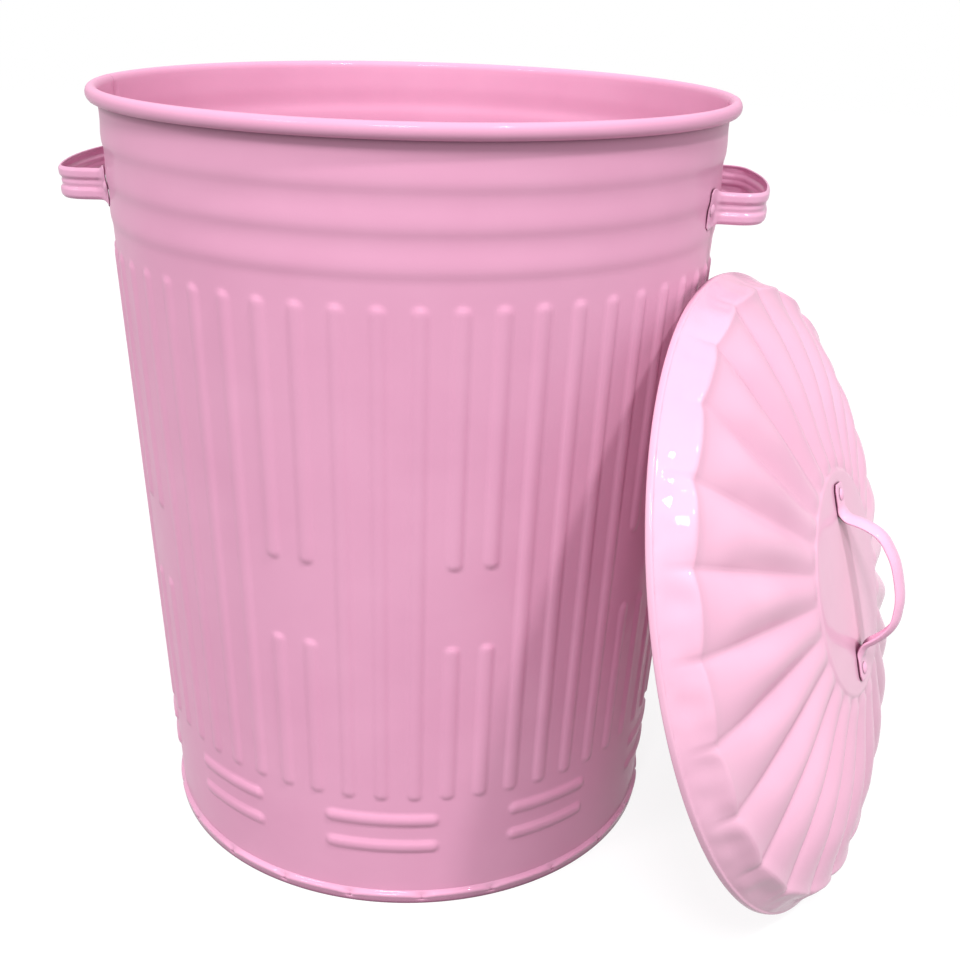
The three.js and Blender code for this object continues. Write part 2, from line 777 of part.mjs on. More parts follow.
function buildCan() {
  const can = new THREE.Group();
  const panel = panelGeometry();
  panel.rotateZ(-90 * degree);
  const frontHoles = [
    atRivet(rivetHole(rivetDrillLength), -1),
    atRivet(rivetHole(rivetDrillLength), 1).rotateZ(180 * degree),
  ];
  const drilled = drill(panel, frontHoles);
  const front = piece('body_panel_front', drilled, coated(bodyPink));
  const back = piece('body_panel_back', drilled.clone(), coated(bodyPink));
  back.rotation.z = 180 * degree;
  can.add(front, back);

  const wire = piece('rim_wire', rimWireGeometry(), galvanised());
  wire.position.z = rimHeight;
  can.add(wire);
  can.add(piece('base_plate', basePlateGeometry(), coated(bodyPink)));
  can.add(piece('base_hoop', baseHoopGeometry(), coated(handlePink)));

  const tabOuter = wallRadius(handleHeight) + ringProud + seatGap + handleSheet;
  const headSeat = tabOuter + handleRidge * 0.1 + seatGap;
  const grip = headSeat - (wallRadius(handleHeight) - sheet - seatGap * 2);
  for (const [sideName, turn] of [['right', 0], ['left', 180]]) {
    const holder = new THREE.Group();
    holder.rotation.z = turn * degree;
    holder.add(piece(`side_handle_${sideName}`, sideHandleGeometry(), coated(handlePink)));
    for (const side of [-1, 1]) {
      const end = (side < 0) === (turn === 0) ? 'front' : 'back';
      const rivet = atRivet(rivetGeometry(grip), side, headSeat);
      holder.add(piece(`handle_rivet_${sideName}_${end}`, rivet, coated(handlePink)));
    }
    can.add(holder);
  }
  return can;
}

function buildLid() {
  const lid = new THREE.Group();
  lid.add(piece('lid_shell', lidShellGeometry(), coated(lidPink)));
  const holder = new THREE.Group();
  holder.position.z = lidDiscHeight;
  holder.rotation.z = lidHandleAngle * degree;
  holder.add(piece('lid_handle', lidHandleGeometry(), coated(lidPink)));
  const headSeat = seatGap * 2 + lidHandleSheet;
  const grip = headSeat + lidSheet + seatGap;
  for (const [end, side] of [['upper', 1], ['lower', -1]]) {
    const rivet = piece(`lid_rivet_${end}`, rivetGeometry(grip), coated(lidPink));
    rivet.position.set(side * lidRivetDistance, 0, headSeat);
    holder.add(rivet);
  }
  lid.add(holder);

  const { level, rising, normal } = lidAxes();
  const height = lidOuterRadius * Math.cos(lidLean * degree);
  const distance = lidStandDistance(height);
  const stand = lidStandAzimuth * degree;
  lid.quaternion.setFromRotationMatrix(new THREE.Matrix4().makeBasis(level, rising, normal));
  lid.position.set(distance * Math.cos(stand), distance * Math.sin(stand), height);
  return lid;
}

// The origin is under the middle of the whole part, on the floor.
function buildAssembly() {
  const assembly = new THREE.Group();
  assembly.add(buildCan(), buildLid());
  assembly.updateMatrixWorld(true);
  const box = new THREE.Box3().setFromObject(assembly, true);
  const middle = box.getCenter(new THREE.Vector3());
  assembly.position.set(-middle.x, -middle.y, -box.min.z);
  return assembly;
}

export default buildAssembly();
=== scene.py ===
# %% [markdown]
# # A pink steel dustbin with its lid leaning on it
# The real bin is thin sheet steel in a glossy powder coat. Its wall is two half panels with ribs
# pressed into them, rolled at the top round a wire and crimped at the bottom into a foot hoop.
# The solids of the part are loaded first. They give the size and the place of every piece, and
# each finer piece made here stands in for one of them.

# %% Load the frame
import json
import math

import bpy
import numpy as np
from mathutils import Matrix, Vector


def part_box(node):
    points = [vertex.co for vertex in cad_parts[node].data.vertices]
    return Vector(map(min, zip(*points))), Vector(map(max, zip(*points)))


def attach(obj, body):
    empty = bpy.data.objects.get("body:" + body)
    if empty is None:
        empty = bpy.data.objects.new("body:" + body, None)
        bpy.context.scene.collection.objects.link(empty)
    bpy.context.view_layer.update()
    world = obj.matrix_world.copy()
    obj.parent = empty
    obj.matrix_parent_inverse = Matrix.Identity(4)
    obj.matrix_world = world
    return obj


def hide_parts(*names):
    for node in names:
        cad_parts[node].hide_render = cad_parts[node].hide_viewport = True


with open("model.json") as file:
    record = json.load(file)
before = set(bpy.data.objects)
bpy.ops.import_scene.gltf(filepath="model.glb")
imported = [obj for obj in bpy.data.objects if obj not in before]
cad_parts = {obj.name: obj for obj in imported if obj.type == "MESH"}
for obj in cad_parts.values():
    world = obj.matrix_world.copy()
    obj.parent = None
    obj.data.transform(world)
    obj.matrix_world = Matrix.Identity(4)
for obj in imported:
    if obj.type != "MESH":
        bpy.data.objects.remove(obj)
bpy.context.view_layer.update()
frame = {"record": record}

# %% [markdown]
# ## Where things are
# The can's axis is the middle of its foot hoop. The lid has its own axes: its normal is the
# direction in which it is drawn away from the can, and the other two lie in its plate.

# %% Can axis and lid axes
MM = 0.001
hoop_low, hoop_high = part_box("base_hoop")
AXIS = Vector(((hoop_low[0] + hoop_high[0]) / 2, (hoop_low[1] + hoop_high[1]) / 2, 0))

LID_RADIUS = 231.0 * MM
LID_DISTANCE = 285.27 * MM
LID_AZIMUTH = math.radians(-17.3)
lid_normal = Vector(frame["record"]["behaviour"]["joints"][0]["axis"]).normalized()
lid_level = Vector((-lid_normal.y, lid_normal.x, 0)).normalized()
lid_rising = lid_normal.cross(lid_level)
LID_CENTRE = AXIS + Vector((
    LID_DISTANCE * math.cos(LID_AZIMUTH),
    LID_DISTANCE * math.sin(LID_AZIMUTH),
    LID_RADIUS * math.sqrt(1 - lid_normal.z ** 2)))
LID_PLACE = Matrix((lid_level, lid_rising, lid_normal)).transposed().to_4x4()
LID_PLACE.translation = LID_CENTRE
CAN_PLACE = Matrix.Translation(AXIS)
print("can axis", AXIS, "lid centre", LID_CENTRE)

# %% [markdown]
# ## Camera
# The picture was taken from a little above, with a mild telephoto lens. The camera is placed
# from the can's axis, and its tilt is given as three turns: down, sideways and a slight roll.

# %% Camera
VIEW_TURN = math.radians(7.1)
PITCH = math.radians(21.814)
YAW = math.radians(4.175)
ROLL = math.radians(1.749)
CAMERA_SPOT = Vector((-17.35, -962.30, 643.24))  # millimetres from the foot of the can's axis
FOCAL_LENGTH = 48.62
SENSOR_WIDTH = 36


def camera_axes(pitch, yaw, roll):
    forward = Vector((
        math.sin(yaw) * math.cos(pitch), math.cos(yaw) * math.cos(pitch), -math.sin(pitch)))
    side = Vector((math.cos(yaw), -math.sin(yaw), 0))
    over = side.cross(forward)
    right = math.cos(roll) * side + math.sin(roll) * over
    return right, math.cos(roll) * over - math.sin(roll) * side, forward


right, up, forward = camera_axes(PITCH, YAW, ROLL)
turn = Matrix.Rotation(VIEW_TURN, 4, "Z")
place = turn @ Matrix((right, up, -forward)).transposed().to_4x4()
place.translation = turn @ CAMERA_SPOT * MM + AXIS
camera_data = bpy.data.cameras.new("camera")
camera_data.sensor_width = SENSOR_WIDTH
camera_data.lens = FOCAL_LENGTH
camera = bpy.data.objects.new("camera", camera_data)
bpy.context.collection.objects.link(camera)
camera.matrix_world = place
bpy.context.scene.camera = camera
bpy.context.scene.view_settings.view_transform = "Standard"
print("camera at", camera.location)

# %% [markdown]
# ## Floor, world and lamps
# The bin stands on plain white. The floor catches its shadow and adds a little light of its own
# for the camera only, so that it reads as white without more light falling on the bin.

# %% Shader helpers


def new_material(name):
    material = bpy.data.materials.new(name)
    material.use_nodes = True
    nodes = material.node_tree.nodes
    nodes.clear()
    return material, nodes, material.node_tree.links


def seen_directly(nodes, links):
    """1 for camera, glossy and transmission rays."""
    path = nodes.new("ShaderNodeLightPath")
    first = nodes.new("ShaderNodeMath")
    first.operation = "MAXIMUM"
    links.new(path.outputs["Is Camera Ray"], first.inputs[0])
    links.new(path.outputs["Is Glossy Ray"], first.inputs[1])
    second = nodes.new("ShaderNodeMath")
    second.operation = "MAXIMUM"
    links.new(first.outputs[0], second.inputs[0])
    links.new(path.outputs["Is Transmission Ray"], second.inputs[1])
    return second.outputs[0]


# %% Floor
FLOOR_RADIUS = 6
FLOOR_TONE = (0.19, 0.19, 0.19, 1)
FLOOR_GLOW = (0.85, 0.85, 0.85, 1)
bpy.ops.object.select_all(action="DESELECT")
bpy.ops.mesh.primitive_circle_add(vertices=96, radius=FLOOR_RADIUS, fill_type="NGON")
floor = bpy.context.active_object
floor.name = "floor"
floor_white, nodes, links = new_material("floor_white")
diffuse = nodes.new("ShaderNodeBsdfDiffuse")
diffuse.inputs["Color"].default_value = FLOOR_TONE
glow = nodes.new("ShaderNodeEmission")
glow.inputs["Color"].default_value = FLOOR_GLOW
links.new(seen_directly(nodes, links), glow.inputs["Strength"])
both = nodes.new("ShaderNodeAddShader")
out = nodes.new("ShaderNodeOutputMaterial")
links.new(diffuse.outputs[0], both.inputs[0])
links.new(glow.outputs[0], both.inputs[1])
links.new(both.outputs[0], out.inputs["Surface"])
floor.data.materials.append(floor_white)

# %% World
ROOM_COLOUR = (0.63, 0.63, 0.64, 1)
world = bpy.data.worlds.new("studio")
bpy.context.scene.world = world
world.use_nodes = True
nodes = world.node_tree.nodes
links = world.node_tree.links
nodes.clear()
room = nodes.new("ShaderNodeBackground")
room.inputs["Color"].default_value = ROOM_COLOUR
room.inputs["Strength"].default_value = 1.0
white = nodes.new("ShaderNodeBackground")
white.inputs["Color"].default_value = (1, 1, 1, 1)
choose = nodes.new("ShaderNodeMixShader")
path = nodes.new("ShaderNodeLightPath")
links.new(path.outputs["Is Camera Ray"], choose.inputs["Fac"])
links.new(room.outputs[0], choose.inputs[1])
links.new(white.outputs[0], choose.inputs[2])
out = nodes.new("ShaderNodeOutputWorld")
links.new(choose.outputs[0], out.inputs["Surface"])

# %% Lamps
LAMP_AIM = AXIS + Vector((0, 0, 0.3))
LAMP_DISTANCE = 9


def lamp(name, azimuth, elevation, size, power):
    """A round lamp that looks at the can, with its direction in degrees."""
    data = bpy.data.lights.new(name, "AREA")
    data.shape = "DISK"
    data.size = size
    data.energy = power
    item = bpy.data.objects.new(name, data)
    bpy.context.collection.objects.link(item)
    a, e = math.radians(azimuth), math.radians(elevation)
    away = Vector((math.cos(a) * math.cos(e), math.sin(a) * math.cos(e), math.sin(e)))
    item.location = LAMP_AIM + away * LAMP_DISTANCE
    item.rotation_euler = away.to_track_quat("Z", "Y").to_euler()


lamp("left_lamp", -138, 42, 2.2, 180)
lamp("front_lamp", -93, 50, 2.2, 400)
lamp("right_lamp", -42, 56, 0.9, 300)

# %% [markdown]
# ## Finishes
# Powder coat is a baked skin of paint. It is glossy, with a very fine orange-peel ripple, and the
# thin steel under it is never quite flat, so its highlights wander. Both are made as bump from
# noise, and the colour drifts a little from place to place. Where two sheets meet and little light
# gets in, as under the rim, shade is painted into the coat: an Ambient Occlusion node mixes a
# deep plum in there as painted shade.

# %% Powder coat
DRIFT_SCALE = 14
GLOSS_SCALE = 60
RIPPLE_SCALE = 900
DENT_SCALE = 22
RIPPLE_DEPTH = 0.00008
DENT_DEPTH = 0.0016
CREVICE_REACH = 0.009
PAINTED_SHADE_PLUM = (0.185, 0.045, 0.100, 1)


def powder_coat(name, light, dark, wave, skin):
    """Paint whose colour drifts from dark to light, with painted shade in its crevices; wave is the
    dents, skin the clear gloss.
    """
    material, nodes, links = new_material(name)
    where = nodes.new("ShaderNodeTexCoord").outputs["Object"]

    def noise_at(scale, detail):
        noise = nodes.new("ShaderNodeTexNoise")
        noise.inputs["Scale"].default_value = scale
        noise.inputs["Detail"].default_value = detail
        links.new(where, noise.inputs["Vector"])
        return noise.outputs["Fac"]

    shader = nodes.new("ShaderNodeBsdfPrincipled")
    shader.inputs["Specular IOR Level"].default_value = 0.18
    shader.inputs["Coat Weight"].default_value = skin
    shader.inputs["Coat Roughness"].default_value = 0.06
    tint = nodes.new("ShaderNodeValToRGB")
    tint.color_ramp.elements[0].position = 0.30
    tint.color_ramp.elements[0].color = (*dark, 1)
    tint.color_ramp.elements[1].position = 0.70
    tint.color_ramp.elements[1].color = (*light, 1)
    links.new(noise_at(DRIFT_SCALE, 4), tint.inputs["Fac"])
    # Painted shade: the AO node darkens the coat towards plum in crevices and under the rim, where
    # shade falls.
    crevice = nodes.new("ShaderNodeAmbientOcclusion")
    crevice.samples = 8
    crevice.inputs["Distance"].default_value = CREVICE_REACH
    openness = nodes.new("ShaderNodeMapRange")
    openness.interpolation_type = "SMOOTHSTEP"
    openness.inputs["From Min"].default_value = 0.38
    openness.inputs["From Max"].default_value = 0.90
    links.new(crevice.outputs["AO"], openness.inputs["Value"])
    shade = nodes.new("ShaderNodeMix")
    shade.data_type = "RGBA"
    shade.inputs["A"].default_value = PAINTED_SHADE_PLUM
    links.new(openness.outputs["Result"], shade.inputs["Factor"])
    links.new(tint.outputs["Color"], shade.inputs["B"])
    links.new(shade.outputs["Result"], shader.inputs["Base Color"])
    gloss = nodes.new("ShaderNodeMapRange")
    gloss.inputs["To Min"].default_value = 0.42
    gloss.inputs["To Max"].default_value = 0.54
    links.new(noise_at(GLOSS_SCALE, 3), gloss.inputs["Value"])
    links.new(gloss.outputs["Result"], shader.inputs["Roughness"])

    ripple = nodes.new("ShaderNodeBump")
    ripple.inputs["Strength"].default_value = 0.25
    ripple.inputs["Distance"].default_value = RIPPLE_DEPTH
    links.new(noise_at(RIPPLE_SCALE, 1), ripple.inputs["Height"])
    dents = nodes.new("ShaderNodeBump")
    dents.inputs["Strength"].default_value = wave
    dents.inputs["Distance"].default_value = DENT_DEPTH
    links.new(noise_at(DENT_SCALE, 1), dents.inputs["Height"])
    links.new(dents.outputs["Normal"], ripple.inputs["Normal"])
    links.new(ripple.outputs["Normal"], shader.inputs["Normal"])
    links.new(ripple.outputs["Normal"], shader.inputs["Coat Normal"])
    out = nodes.new("ShaderNodeOutputMaterial")
    links.new(shader.outputs[0], out.inputs["Surface"])
    return material


can_coat = powder_coat("can_coat", (0.820, 0.395, 0.575), (0.790, 0.365, 0.545), 0.3, 0.16)
hoop_coat = powder_coat("hoop_coat", (0.815, 0.410, 0.590), (0.770, 0.370, 0.545), 0.3, 0.4)
handle_coat = powder_coat("handle_coat", (0.850, 0.460, 0.640), (0.800, 0.400, 0.585), 0.2, 0.3)
lid_coat = powder_coat("lid_coat", (0.872, 0.492, 0.648), (0.838, 0.453, 0.611), 0.7, 0.4)
lid_handle_coat = powder_coat(
    "lid_handle_coat", (0.930, 0.515, 0.700), (0.870, 0.455, 0.640), 0.2, 0.3)

# %% Zinc for the hidden wire


def zinc():
    material, nodes, links = new_material("zinc_plate")
    where = nodes.new("ShaderNodeTexCoord").outputs["Object"]
    cells = nodes.new("ShaderNodeTexVoronoi")
    cells.inputs["Scale"].default_value = 300
    links.new(where, cells.inputs["Vector"])
    tint = nodes.new("ShaderNodeValToRGB")
    tint.color_ramp.elements[0].color = (0.42, 0.44, 0.46, 1)
    tint.color_ramp.elements[1].color = (0.58, 0.60, 0.62, 1)
    links.new(cells.outputs["Color"], tint.inputs["Fac"])
    shader = nodes.new("ShaderNodeBsdfPrincipled")
    shader.inputs["Metallic"].default_value = 1.0
    shader.inputs["Roughness"].default_value = 0.38
    links.new(tint.outputs["Color"], shader.inputs["Base Color"])
    out = nodes.new("ShaderNodeOutputMaterial")
    links.new(shader.outputs[0], out.inputs["Surface"])
    return material


zinc_plate = zinc()
wire = bpy.data.objects["rim_wire"]
wire.data.materials.clear()
wire.data.materials.append(zinc_plate)
print("materials:", len(bpy.data.materials))

# %% [markdown]
# ## Turned shapes
# The wall, the hoop, the base and the lid are all round, so each starts as a line drawn in
# section and is spun about the axis. The line is drawn by extruding one vertex from point to
# point. Spinning gives even columns of faces, which is what the pressed relief needs later.

# %% Helpers for drawing and spinning a section


def start_vertex(name, radius, height):
    bpy.ops.object.select_all(action="DESELECT")
    bpy.ops.mesh.primitive_plane_add(size=0.002, location=(0, 0, 0))
    item = bpy.context.active_object
    item.name = name
    bpy.ops.object.mode_set(mode="EDIT")
    bpy.ops.mesh.select_all(action="SELECT")
    bpy.ops.mesh.merge(type="CENTER")
    bpy.ops.transform.translate(value=(radius, 0, height))
    return item


def spun(name, section, steps, angle=math.tau, loop=False):
    """Draws a section of (radius, height) points and spins it about the upright axis."""
    item = start_vertex(name, *section[0])
    here = section[0]
    for point in section[1:]:
        bpy.ops.mesh.extrude_vertices_move(
            TRANSFORM_OT_translate={"value": (point[0] - here[0], 0, point[1] - here[1])})
        here = point
    bpy.ops.mesh.select_all(action="SELECT")
    if loop:
        bpy.ops.mesh.edge_face_add()
        bpy.ops.mesh.delete(type="ONLY_FACE")
        bpy.ops.mesh.select_all(action="SELECT")
    bpy.ops.mesh.spin(steps=steps, angle=angle, center=(0, 0, 0), axis=(0, 0, 1))
    bpy.ops.mesh.select_all(action="SELECT")
    bpy.ops.mesh.remove_doubles(threshold=0.00002)
    bpy.ops.object.mode_set(mode="OBJECT")
    return item


# %% Helpers for moving vertices and finishing a piece


def read_points(item):
    points = np.empty(len(item.data.vertices) * 3)
    item.data.vertices.foreach_get("co", points)
    return points.reshape(-1, 3)


def write_points(item, points):
    item.data.vertices.foreach_set("co", points.ravel())
    item.data.update()


def read_polar(item):
    """Angle and distance about the upright axis, and height, of every vertex."""
    points = read_points(item)
    return np.arctan2(points[:, 1], points[:, 0]), np.hypot(points[:, 0], points[:, 1]), points[:, 2]


def write_polar(item, angle, radius, height):
    write_points(item, np.column_stack((radius * np.cos(angle), radius * np.sin(angle), height)))


def select_only(item):
    bpy.ops.object.select_all(action="DESELECT")
    item.select_set(True)
    bpy.context.view_layer.objects.active = item


def turn_faces_out(item):
    select_only(item)
    bpy.ops.object.mode_set(mode="EDIT")
    bpy.ops.mesh.select_all(action="SELECT")
    bpy.ops.mesh.normals_make_consistent(inside=False)
    bpy.ops.object.mode_set(mode="OBJECT")


def apply_modifier(item, kind, **settings):
    select_only(item)
    modifier = item.modifiers.new(kind.lower(), kind)
    for key, value in settings.items():
        setattr(modifier, key, value)
    bpy.ops.object.modifier_apply(modifier=modifier.name)


def finish_piece(item, matrix, material, slot, body, *nodes_replaced, angle=50):
    """Puts a piece in its place, smooths and coats it, hides the solids it stands in for and hangs it
    on its body.
    """
    item.data.transform(matrix)
    item.data.update()
    select_only(item)
    bpy.ops.object.shade_smooth_by_angle(angle=math.radians(angle))
    item.data.materials.clear()
    item.data.materials.append(material)
    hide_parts(*nodes_replaced)
    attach(item, body)
    print(item.name, "faces:", len(item.data.polygons))
    return item


def copy_piece(item, name):
    other = item.copy()
    other.data = item.data.copy()
    other.name = name
    bpy.context.collection.objects.link(other)
    return other


def smooth(x):
    """An even slope from 0 to 1 with rounded ends."""
    x = np.clip(x, 0, 1)
    return x * x * (3 - 2 * x)


# %% [markdown]
# ## Can wall
# A press squeezes the relief into flat sheet before it is rolled: upright ribs, some of them
# broken in the middle, pairs of short bars below them, and three soft rings near the top. Here
# the plain section with its rings and its rolled rim is spun half round first. Then each vertex
# is pushed out by the height of the ribs and bars at its own place, and Solidify gives the sheet
# its thickness. The line that is drawn is the inside face, because at the rim it is the inside
# face of the sheet that ends up on show.

# %% Section of the wall
HEIGHT = 560 * MM
WALL_TOP, WALL_BOTTOM = 221.2 * MM, 191.8 * MM
SHEET = 1.0 * MM
BEAD = 4.25 * MM
RINGS = [474.5 * MM, 499.5 * MM, 525 * MM]
RING_PROUD = 0.95 * MM
RING_RUN_BELOW = 8 * MM
RING_RUN_ABOVE = 15 * MM


def wall_radius(z):
    """The plain outer face of the can, without its relief."""
    return WALL_BOTTOM + (WALL_TOP - WALL_BOTTOM) * z / HEIGHT


def ring_height(z):
    total = 0.0
    for crest in RINGS:
        below = smooth(1 - (crest - z) / RING_RUN_BELOW) if z <= crest else 0.0
        above = smooth(1 - (z - crest) / RING_RUN_ABOVE) if z > crest else 0.0
        total += RING_PROUD * float(max(below, above))
    return total


def steps_between(low, high, step):
    count = max(1, round((high - low) / step))
    return [low + (high - low) * k / count for k in range(count)]


# Rows of the mesh, in millimetres from the floor: close together where a bar, a rib's end or a
# ring bends the sheet, and far apart where the wall runs straight.
levels = [1.5, 8, 9.6, 12, 20, 32]
levels += steps_between(40, 82, 2.0)
levels += steps_between(82, 104, 1.8)
levels += steps_between(104, 208, 20)
levels += steps_between(208, 225, 1.8)
levels += steps_between(225, 269, 15)
levels += steps_between(269, 286, 1.8)
levels += steps_between(286, 441, 25)
levels += steps_between(441, 458, 1.8)
levels += steps_between(458, 548, 2.4)
wall_section = [(wall_radius(z * MM) - SHEET + ring_height(z * MM), z * MM) for z in levels]
BEAD_HALF_HEIGHT = 5.2 * MM
BEAD_TURN = 300
BEAD_STEPS = 14
rim_height = HEIGHT - BEAD_HALF_HEIGHT
rim_centre = wall_radius(rim_height) - SHEET + BEAD
wall_section.append((wall_radius(rim_height - BEAD) - SHEET, rim_height - BEAD))
for k in range(BEAD_STEPS + 1):
    a = math.radians(180 - BEAD_TURN * k / BEAD_STEPS)
    wall_section.append((
        rim_centre + BEAD * math.cos(a), rim_height + BEAD_HALF_HEIGHT * math.sin(a)))
print("wall section points:", len(wall_section))

# %% Spin half a wall
RIB_PITCH = math.radians(6.8)
COLUMNS_PER_RIB = 13
PANEL_COLUMNS = 344
panel_angle = RIB_PITCH / COLUMNS_PER_RIB * PANEL_COLUMNS
wall_front = spun("wall_front", wall_section, PANEL_COLUMNS, panel_angle)
print("half wall:", len(wall_front.data.vertices), "vertices")

# %% Relief of ribs and bars
RIB_PROUD = 1.6 * MM
RIB_HALF = 5.6 * MM
RIBS_EACH_SIDE = 12
RIB_SPAN = [(91, 453.5)]
GAPPED_SPANS = [(91, 218.5), (274.5, 453.5)]
GAPPED_RIBS = (2, 3, 8, 9)
BAR_PROUD = 1.9 * MM
BAR_HALF = 5.6 * MM
BAR_LEVELS = (51, 74)
BAR_GROUPS = ((0, 1.80), (5.5, 1.51), (-5.5, 1.51), (11.3, 1.51), (-11.3, 1.51))


def capsule(across, along, start, end, half):
    """Height 0 to 1 of a round-ended bar that runs from start to end."""
    beyond = np.maximum(np.maximum(start + half - along, along - (end - half)), 0)
    return smooth((half - np.hypot(across, beyond)) / (0.66 * half))


def relief(angle, z):
    """How far the sheet stands out, for angles from the middle of the panel.

    A bar group is its middle and its half span, both counted in ribs.
    """
    radius = wall_radius(z)
    height = np.zeros_like(z)
    for rib in range(-RIBS_EACH_SIDE, RIBS_EACH_SIDE + 1):
        across = (angle - rib * RIB_PITCH) * radius
        for low, high in GAPPED_SPANS if abs(rib) in GAPPED_RIBS else RIB_SPAN:
            crest = capsule(across, z, low * MM, high * MM, RIB_HALF)
            height = np.maximum(height, RIB_PROUD * crest)
    for centre, half_span in BAR_GROUPS:
        along = (angle - centre * RIB_PITCH) * radius
        reach = half_span * RIB_PITCH * radius
        for level in BAR_LEVELS:
            bar = capsule(z - level * MM, along, -reach, reach, BAR_HALF)
            height = np.maximum(height, BAR_PROUD * bar)
    return height


# %% Press the relief and fold the seam edges
SEAM_HALF = 6.0 * MM
SEAM_EASE = 1.5 * MM
SEAM_PROUD = 1.4 * MM
SEAM_PROUD_AT_RIM = 0.35 * MM
angle, radius, z = read_polar(wall_front)
angle = angle - (angle.min() + angle.max()) / 2
on_wall = z < rim_height - BEAD + 0.1 * MM
radius = radius + np.where(on_wall, relief(angle, z), 0)
edge = (panel_angle / 2 - np.abs(angle)) * radius
seam = smooth((SEAM_HALF - edge) / SEAM_EASE) * (z > hoop_high[2] + 1 * MM)
radius = radius + np.where(on_wall, SEAM_PROUD, SEAM_PROUD_AT_RIM) * seam
write_polar(wall_front, angle - math.radians(90), radius, z)
print("relief pressed, highest point", round(float(radius.max()) * 1000, 1), "mm from the axis")

# %% Give the sheet its thickness and make the back half
middle_face = min(
    wall_front.data.polygons, key=lambda f: abs(f.center.z - 150 * MM) + abs(f.center.x))
if middle_face.normal.y < 0:
    wall_front.data.flip_normals()
apply_modifier(wall_front, "SOLIDIFY", thickness=SHEET, offset=-1.0)
wall_back = copy_piece(wall_front, "wall_back")
finish_piece(wall_front, CAN_PLACE, can_coat, "body_coat", "can", "body_panel_front")
half_turn = CAN_PLACE @ Matrix.Rotation(math.pi, 4, "Z")
finish_piece(wall_back, half_turn, can_coat, "body_coat", "can", "body_panel_back")

# %% [markdown]
# ## Foot hoop and base
# The hoop is a narrow channel that wraps the lower edge of the wall. Its top edge is crimped
# inwards at even steps, which shows as a row of shallow nicks. The base is a shallow dish set
# inside it, with a swaged ring that stiffens it.

# %% Foot hoop
HOOP_SHEET = 1.2 * MM
LEG_HEIGHT = 7 * MM
hoop_outer = (hoop_high[0] - hoop_low[0]) / 2
leg = wall_radius(0) - SHEET - 2.3 * MM
hoop_face = [
    (-1.8, 0.0), (-1.2, 0.3), (-1.0, 1.2), (-0.95, 2.6), (-0.8, 4.0), (-0.5, 5.2), (-0.15, 6.2),
    (0.0, 7.1), (-0.25, 7.8), (-0.8, 8.4), (-1.6, 8.9), (-2.4, 9.4), (-2.9, 10.2)]
hoop_section = [(hoop_outer + r * MM, z * MM) for r, z in hoop_face]
hoop_inner = wall_radius(4 * MM) + 0.15 * MM
hoop_section += [
    (hoop_inner, LEG_HEIGHT), (hoop_inner, 1.4 * MM), (leg, 1.4 * MM), (leg, LEG_HEIGHT),
    (leg - HOOP_SHEET, LEG_HEIGHT), (leg - HOOP_SHEET, 0.3 * MM), (leg - 0.9 * MM, 0)]
hoop = spun("foot_hoop", hoop_section, 460, loop=True)

# %% Crimp the hoop
HOOP_STEP = math.radians(15.65)
NICK_DEPTH = 1.0 * MM
ARCH_DEPTH = 0.6 * MM
ARCH_SAG = 2.0 * MM
angle, radius, height = read_polar(hoop)
turn_share = (angle / HOOP_STEP + 0.2) % 1
nick = np.minimum(turn_share, 1 - turn_share) * HOOP_STEP * hoop_outer
on_face = smooth((radius - hoop_outer + 2.0 * MM) / (0.8 * MM))
upper = smooth((height - 3.0 * MM) / (3 * MM))
arch = np.abs(2 * turn_share - 1) ** 4
depth = (NICK_DEPTH * smooth(1 - nick / (3.0 * MM)) + ARCH_DEPTH * arch) * upper
sag = ARCH_SAG * arch * upper
write_polar(hoop, angle, radius - depth * on_face, height - sag * on_face)
turn_faces_out(hoop)
finish_piece(hoop, CAN_PLACE, hoop_coat, "hoop_coat", "can", "base_hoop", angle=40)

# %% Base plate
plate_low, plate_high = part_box("base_plate")
flange = (plate_high[0] - plate_low[0]) / 2
plate_top = [
    (0, 13.0), (60, 13.0), (134, 13.0), (138, 13.2), (142, 13.9), (146, 14.7), (150, 15.0),
    (154, 14.7), (158, 13.9), (162, 13.2), (166, 13.0), (180, 13.0)]
plate_section = [(r * MM, z * MM) for r, z in plate_top]
plate_section += [
    (flange - 2.2 * MM, 13.0 * MM), (flange - 0.6 * MM, 12.4 * MM), (flange, 10.8 * MM),
    (flange, 5 * MM), (flange, 1.6 * MM), (flange - SHEET, 1.6 * MM), (flange - SHEET, 10.4 * MM),
    (flange - 2.4 * MM, 12.0 * MM)]
plate_section += [(r * MM, z * MM - SHEET) for r, z in reversed(plate_top)]
base = spun("base_dish", plate_section, 240)
turn_faces_out(base)
finish_piece(base, CAN_PLACE, can_coat, "body_coat", "can", "base_plate")

# %% [markdown]
# ## Strap handles
# Each side handle is one strap. Grooves are rolled along it for stiffness, its ends are pressed
# flat and flared into tabs, and it is bent into a loop. A strap is a flat strip that follows a
# path, so it starts as a grid, and every vertex is carried to its place on the path. Solidify and
# a small bevel give it its thickness and its rounded edges.

# %% Helpers for straps


def rounded_path(corners, radius, spacing):
    """Points along a line of corners, with each corner rounded, and their distances."""
    corners = [np.array(c, dtype=float) for c in corners]
    line = [corners[0]]
    for before, here, after in zip(corners, corners[1:], corners[2:]):
        to_before = np.linalg.norm(before - here)
        to_after = np.linalg.norm(after - here)
        reach = min(radius, to_before * 0.48, to_after * 0.48)
        a = here + (before - here) / to_before * reach
        b = here + (after - here) / to_after * reach
        for k in range(9):
            t = k / 8
            line.append((1 - t) ** 2 * a + 2 * t * (1 - t) * here + t ** 2 * b)
    line.append(corners[-1])
    line = np.array(line)
    lengths = np.concatenate(([0], np.cumsum(np.linalg.norm(np.diff(line, axis=0), axis=1))))
    count = int(lengths[-1] / spacing)
    at = np.linspace(0, lengths[-1], count + 1)
    return np.column_stack([np.interp(at, lengths, line[:, k]) for k in (0, 1)]), at


